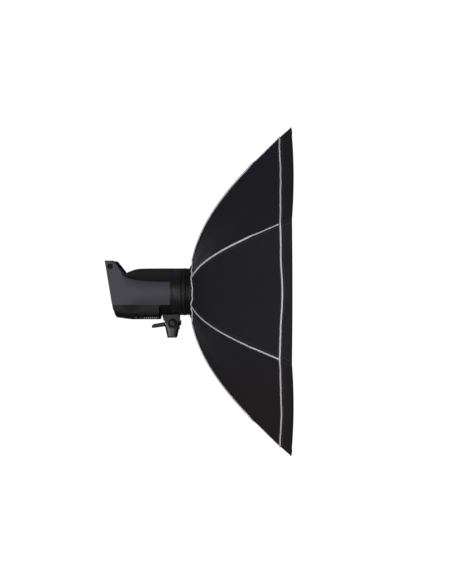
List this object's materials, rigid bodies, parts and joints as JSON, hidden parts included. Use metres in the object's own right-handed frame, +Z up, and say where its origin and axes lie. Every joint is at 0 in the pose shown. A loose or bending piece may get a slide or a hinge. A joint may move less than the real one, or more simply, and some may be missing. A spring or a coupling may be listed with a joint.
{
  "type": "octabox",
  "caption": "Octagonal folding softbox in black cloth with pale piping and white diffusers, on a mains studio flash head with tilt bracket and stand socket.",
  "frame": {"origin": "centre of the stand socket's mouth, under the tilt pivot", "axes": "+X is the way the light shines, +Z is up the stand's axis, and the tilt axis is along Y"},
  "size_m": [0.5429, 0.9238, 0.9238],
  "materials": {
    "canopy_cloth": "matte coated nylon",
    "diffuser_cloth": "translucent white nylon",
    "rod_steel": "drawn spring steel",
    "black_plastic": "fine moulded texture",
    "grey_plastic": "fine moulded texture",
    "soft_grip": "soft matte rubber",
    "bare_aluminium": "satin",
    "black_metal": "satin black powder coat",
    "clear_glass": "clear",
    "white_insulator": "white heat-proof board",
    "circuit_laminate": "green laminate",
    "capacitor_sleeve": "shrunk blue sleeve"
  },
  "bodies": {
    "receiver": {"stand_receiver": "black_metal"},
    "head": {"tilt_fork": "black_metal", "tilt_cap": "black_plastic", "side_shell_near": "grey_plastic", "side_shell_far": "grey_plastic", "top_cover": "black_plastic", "bottom_cover": "black_plastic", "handle_grip": "soft_grip", "rear_panel": "black_plastic", "display_window": "clear_glass", "mains_inlet": "black_plastic", "sync_socket": "black_metal", "chassis_plate": "bare_aluminium", "capacitor_bank": "capacitor_sleeve", "circuit_board": "circuit_laminate", "fan_frame": "black_plastic", "front_barrel": "black_plastic", "bayonet_ring": "black_metal", "lamp_base": "white_insulator", "glass_dome": "clear_glass", "flash_tube": "clear_glass", "modelling_lamp": "clear_glass"},
    "tilt_lever": {"tilt_lever": "black_plastic"},
    "stand_lock": {"stand_lock_screw": "bare_aluminium"},
    "locking_collar": {"locking_collar": "black_metal"},
    "fan_rotor": {"fan_rotor": "black_plastic"},
    "control_dial": {"control_dial": "black_plastic"},
    "power_switch": {"power_switch": "black_plastic"},
    "speedring_insert": {"speedring_insert": "bare_aluminium"},
    "speedring_rotor": {"speedring_rotor": "black_metal", "front_diffuser": "diffuser_cloth", "inner_diffuser": "diffuser_cloth"},
    "push_button_1": {"push_button_1": "soft_grip"},
    "push_button_2": {"push_button_2": "soft_grip"},
    "push_button_3": {"push_button_3": "soft_grip"},
    "push_button_4": {"push_button_4": "soft_grip"},
    "rib_1": {"rod_holder_1": "black_plastic", "rod_1": "rod_steel"},
    "rib_2": {"rod_holder_2": "black_plastic", "rod_2": "rod_steel"},
    "rib_3": {"rod_holder_3": "black_plastic", "rod_3": "rod_steel"},
    "rib_4": {"rod_holder_4": "black_plastic", "rod_4": "rod_steel"},
    "rib_5": {"rod_holder_5": "black_plastic", "rod_5": "rod_steel"},
    "rib_6": {"rod_holder_6": "black_plastic", "rod_6": "rod_steel"},
    "rib_7": {"rod_holder_7": "black_plastic", "rod_7": "rod_steel"},
    "rib_8": {"rod_holder_8": "black_plastic", "rod_8": "rod_steel"},
    "gore_1": {"canopy_panel_1": "canopy_cloth"},
    "gore_2": {"canopy_panel_2": "canopy_cloth"},
    "gore_3": {"canopy_panel_3": "canopy_cloth"},
    "gore_4": {"canopy_panel_4": "canopy_cloth"},
    "gore_5": {"canopy_panel_5": "canopy_cloth"},
    "gore_6": {"canopy_panel_6": "canopy_cloth"},
    "gore_7": {"canopy_panel_7": "canopy_cloth"},
    "gore_8": {"canopy_panel_8": "canopy_cloth"}
  },
  "joints": [
    {"name": "tilt", "type": "hinge", "parent": "receiver", "child": "head", "pos_m": [0, 0, 0.043], "axis": [0, 1, 0], "range_deg": [-60, 30]},
    {"name": "tilt_lever_turn", "type": "hinge", "parent": "head", "child": "tilt_lever", "pos_m": [0, 0.028, 0.043], "axis": [0, 1, 0], "range_deg": [-120, 0]},
    {"name": "stand_lock_turn", "type": "hinge", "parent": "receiver", "child": "stand_lock", "pos_m": [0.018, 0, 0.044], "axis": [1, 0, 0], "range_deg": [-360, 0]},
    {"name": "locking_collar_turn", "type": "hinge", "parent": "head", "child": "locking_collar", "pos_m": [0.034, 0, 0.135], "axis": [1, 0, 0], "range_deg": [0, 25]},
    {"name": "fan_spin", "type": "hinge", "parent": "head", "child": "fan_rotor", "pos_m": [-0.08, 0, 0.07], "axis": [0, 0, 1], "continuous": true},
    {"name": "dial_turn", "type": "hinge", "parent": "head", "child": "control_dial", "pos_m": [-0.18013, 0.034, 0.13927], "axis": [0.9858, 0, 0.168], "continuous": true},
    {"name": "power_switch_rock", "type": "hinge", "parent": "head", "child": "power_switch", "pos_m": [-0.16848, -0.034, 0.10068], "axis": [0, 1, 0], "range_deg": [0, 14]},
    {"name": "push_button_1_press", "type": "slide", "parent": "head", "child": "push_button_1", "axis": [0.9858, 0, 0.168], "range_m": [0, 0.0012], "stiffness_N_per_m": 400},
    {"name": "push_button_2_press", "type": "slide", "parent": "head", "child": "push_button_2", "axis": [0.9858, 0, 0.168], "range_m": [0, 0.0012], "stiffness_N_per_m": 400},
    {"name": "push_button_3_press", "type": "slide", "parent": "head", "child": "push_button_3", "axis": [0.9858, 0, 0.168], "range_m": [0, 0.0012], "stiffness_N_per_m": 400},
    {"name": "push_button_4_press", "type": "slide", "parent": "head", "child": "push_button_4", "axis": [0.9858, 0, 0.168], "range_m": [0, 0.0012], "stiffness_N_per_m": 400},
    {"name": "bayonet_twist", "type": "hinge", "parent": "head", "child": "speedring_insert", "pos_m": [0.06, 0, 0.135], "axis": [1, 0, 0], "range_deg": [0, 20]},
    {"name": "box_rotation", "type": "hinge", "parent": "speedring_insert", "child": "speedring_rotor", "pos_m": [0.063, 0, 0.135], "axis": [1, 0, 0], "continuous": true},
    {"name": "rib_1_fold", "type": "hinge", "parent": "speedring_rotor", "child": "rib_1", "pos_m": [0.06476, -0.03354, 0.21596], "axis": [0, 0.9239, 0.3827], "range_deg": [0, 60], "deforming": ["canopy_panel_1", "canopy_panel_2", "canopy_panel_3", "canopy_panel_4", "canopy_panel_5", "canopy_panel_6", "canopy_panel_7", "canopy_panel_8", "front_diffuser", "inner_diffuser"]},
    {"name": "rib_2_fold", "type": "hinge", "parent": "speedring_rotor", "child": "rib_2", "pos_m": [0.06476, -0.08096, 0.16853], "axis": [0, 0.3827, 0.9239], "range_deg": [0, 60]},
    {"name": "rib_3_fold", "type": "hinge", "parent": "speedring_rotor", "child": "rib_3", "pos_m": [0.06476, -0.08096, 0.10146], "axis": [0, -0.3827, 0.9239], "range_deg": [0, 60]},
    {"name": "rib_4_fold", "type": "hinge", "parent": "speedring_rotor", "child": "rib_4", "pos_m": [0.06476, -0.03354, 0.05404], "axis": [0, -0.9239, 0.3827], "range_deg": [0, 60]},
    {"name": "rib_5_fold", "type": "hinge", "parent": "speedring_rotor", "child": "rib_5", "pos_m": [0.06476, 0.03354, 0.05404], "axis": [0, -0.9239, -0.3827], "range_deg": [0, 60]},
    {"name": "rib_6_fold", "type": "hinge", "parent": "speedring_rotor", "child": "rib_6", "pos_m": [0.06476, 0.08096, 0.10146], "axis": [0, -0.3827, -0.9239], "range_deg": [0, 60]},
    {"name": "rib_7_fold", "type": "hinge", "parent": "speedring_rotor", "child": "rib_7", "pos_m": [0.06476, 0.08096, 0.16853], "axis": [0, 0.3827, -0.9239], "range_deg": [0, 60]},
    {"name": "rib_8_fold", "type": "hinge", "parent": "speedring_rotor", "child": "rib_8", "pos_m": [0.06476, 0.03354, 0.21596], "axis": [0, 0.9239, -0.3827], "range_deg": [0, 60]},
    {"name": "gore_1_fold", "type": "hinge", "parent": "speedring_rotor", "child": "gore_1", "pos_m": [0.0587, 0, 0.22369], "axis": [0, 1, 0], "range_deg": [0, 58]},
    {"name": "gore_2_fold", "type": "hinge", "parent": "speedring_rotor", "child": "gore_2", "pos_m": [0.0587, -0.06272, 0.19772], "axis": [0, 0.7071, 0.7071], "range_deg": [0, 58]},
    {"name": "gore_3_fold", "type": "hinge", "parent": "speedring_rotor", "child": "gore_3", "pos_m": [0.0587, -0.08869, 0.135], "axis": [0, 0, 1], "range_deg": [0, 58]},
    {"name": "gore_4_fold", "type": "hinge", "parent": "speedring_rotor", "child": "gore_4", "pos_m": [0.0587, -0.06272, 0.07229], "axis": [0, -0.7071, 0.7071], "range_deg": [0, 58]},
    {"name": "gore_5_fold", "type": "hinge", "parent": "speedring_rotor", "child": "gore_5", "pos_m": [0.0587, 0, 0.04631], "axis": [0, -1, 0], "range_deg": [0, 58]},
    {"name": "gore_6_fold", "type": "hinge", "parent": "speedring_rotor", "child": "gore_6", "pos_m": [0.0587, 0.06272, 0.07229], "axis": [0, -0.7071, -0.7071], "range_deg": [0, 58]},
    {"name": "gore_7_fold", "type": "hinge", "parent": "speedring_rotor", "child": "gore_7", "pos_m": [0.0587, 0.08869, 0.135], "axis": [0, 0, -1], "range_deg": [0, 58]},
    {"name": "gore_8_fold", "type": "hinge", "parent": "speedring_rotor", "child": "gore_8", "pos_m": [0.0587, 0.06272, 0.19772], "axis": [0, 0.7071, -0.7071], "range_deg": [0, 58]}
  ],
  "couplings": [
    {"joint": "rib_2_fold", "follows": "rib_1_fold", "ratio": 1},
    {"joint": "rib_3_fold", "follows": "rib_1_fold", "ratio": 1},
    {"joint": "rib_4_fold", "follows": "rib_1_fold", "ratio": 1},
    {"joint": "rib_5_fold", "follows": "rib_1_fold", "ratio": 1},
    {"joint": "rib_6_fold", "follows": "rib_1_fold", "ratio": 1},
    {"joint": "rib_7_fold", "follows": "rib_1_fold", "ratio": 1},
    {"joint": "rib_8_fold", "follows": "rib_1_fold", "ratio": 1},
    {"joint": "gore_1_fold", "follows": "rib_1_fold", "ratio": 0.957},
    {"joint": "gore_2_fold", "follows": "rib_1_fold", "ratio": 0.957},
    {"joint": "gore_3_fold", "follows": "rib_1_fold", "ratio": 0.957},
    {"joint": "gore_4_fold", "follows": "rib_1_fold", "ratio": 0.957},
    {"joint": "gore_5_fold", "follows": "rib_1_fold", "ratio": 0.957},
    {"joint": "gore_6_fold", "follows": "rib_1_fold", "ratio": 0.957},
    {"joint": "gore_7_fold", "follows": "rib_1_fold", "ratio": 0.957},
    {"joint": "gore_8_fold", "follows": "rib_1_fold", "ratio": 0.957}
  ]
}
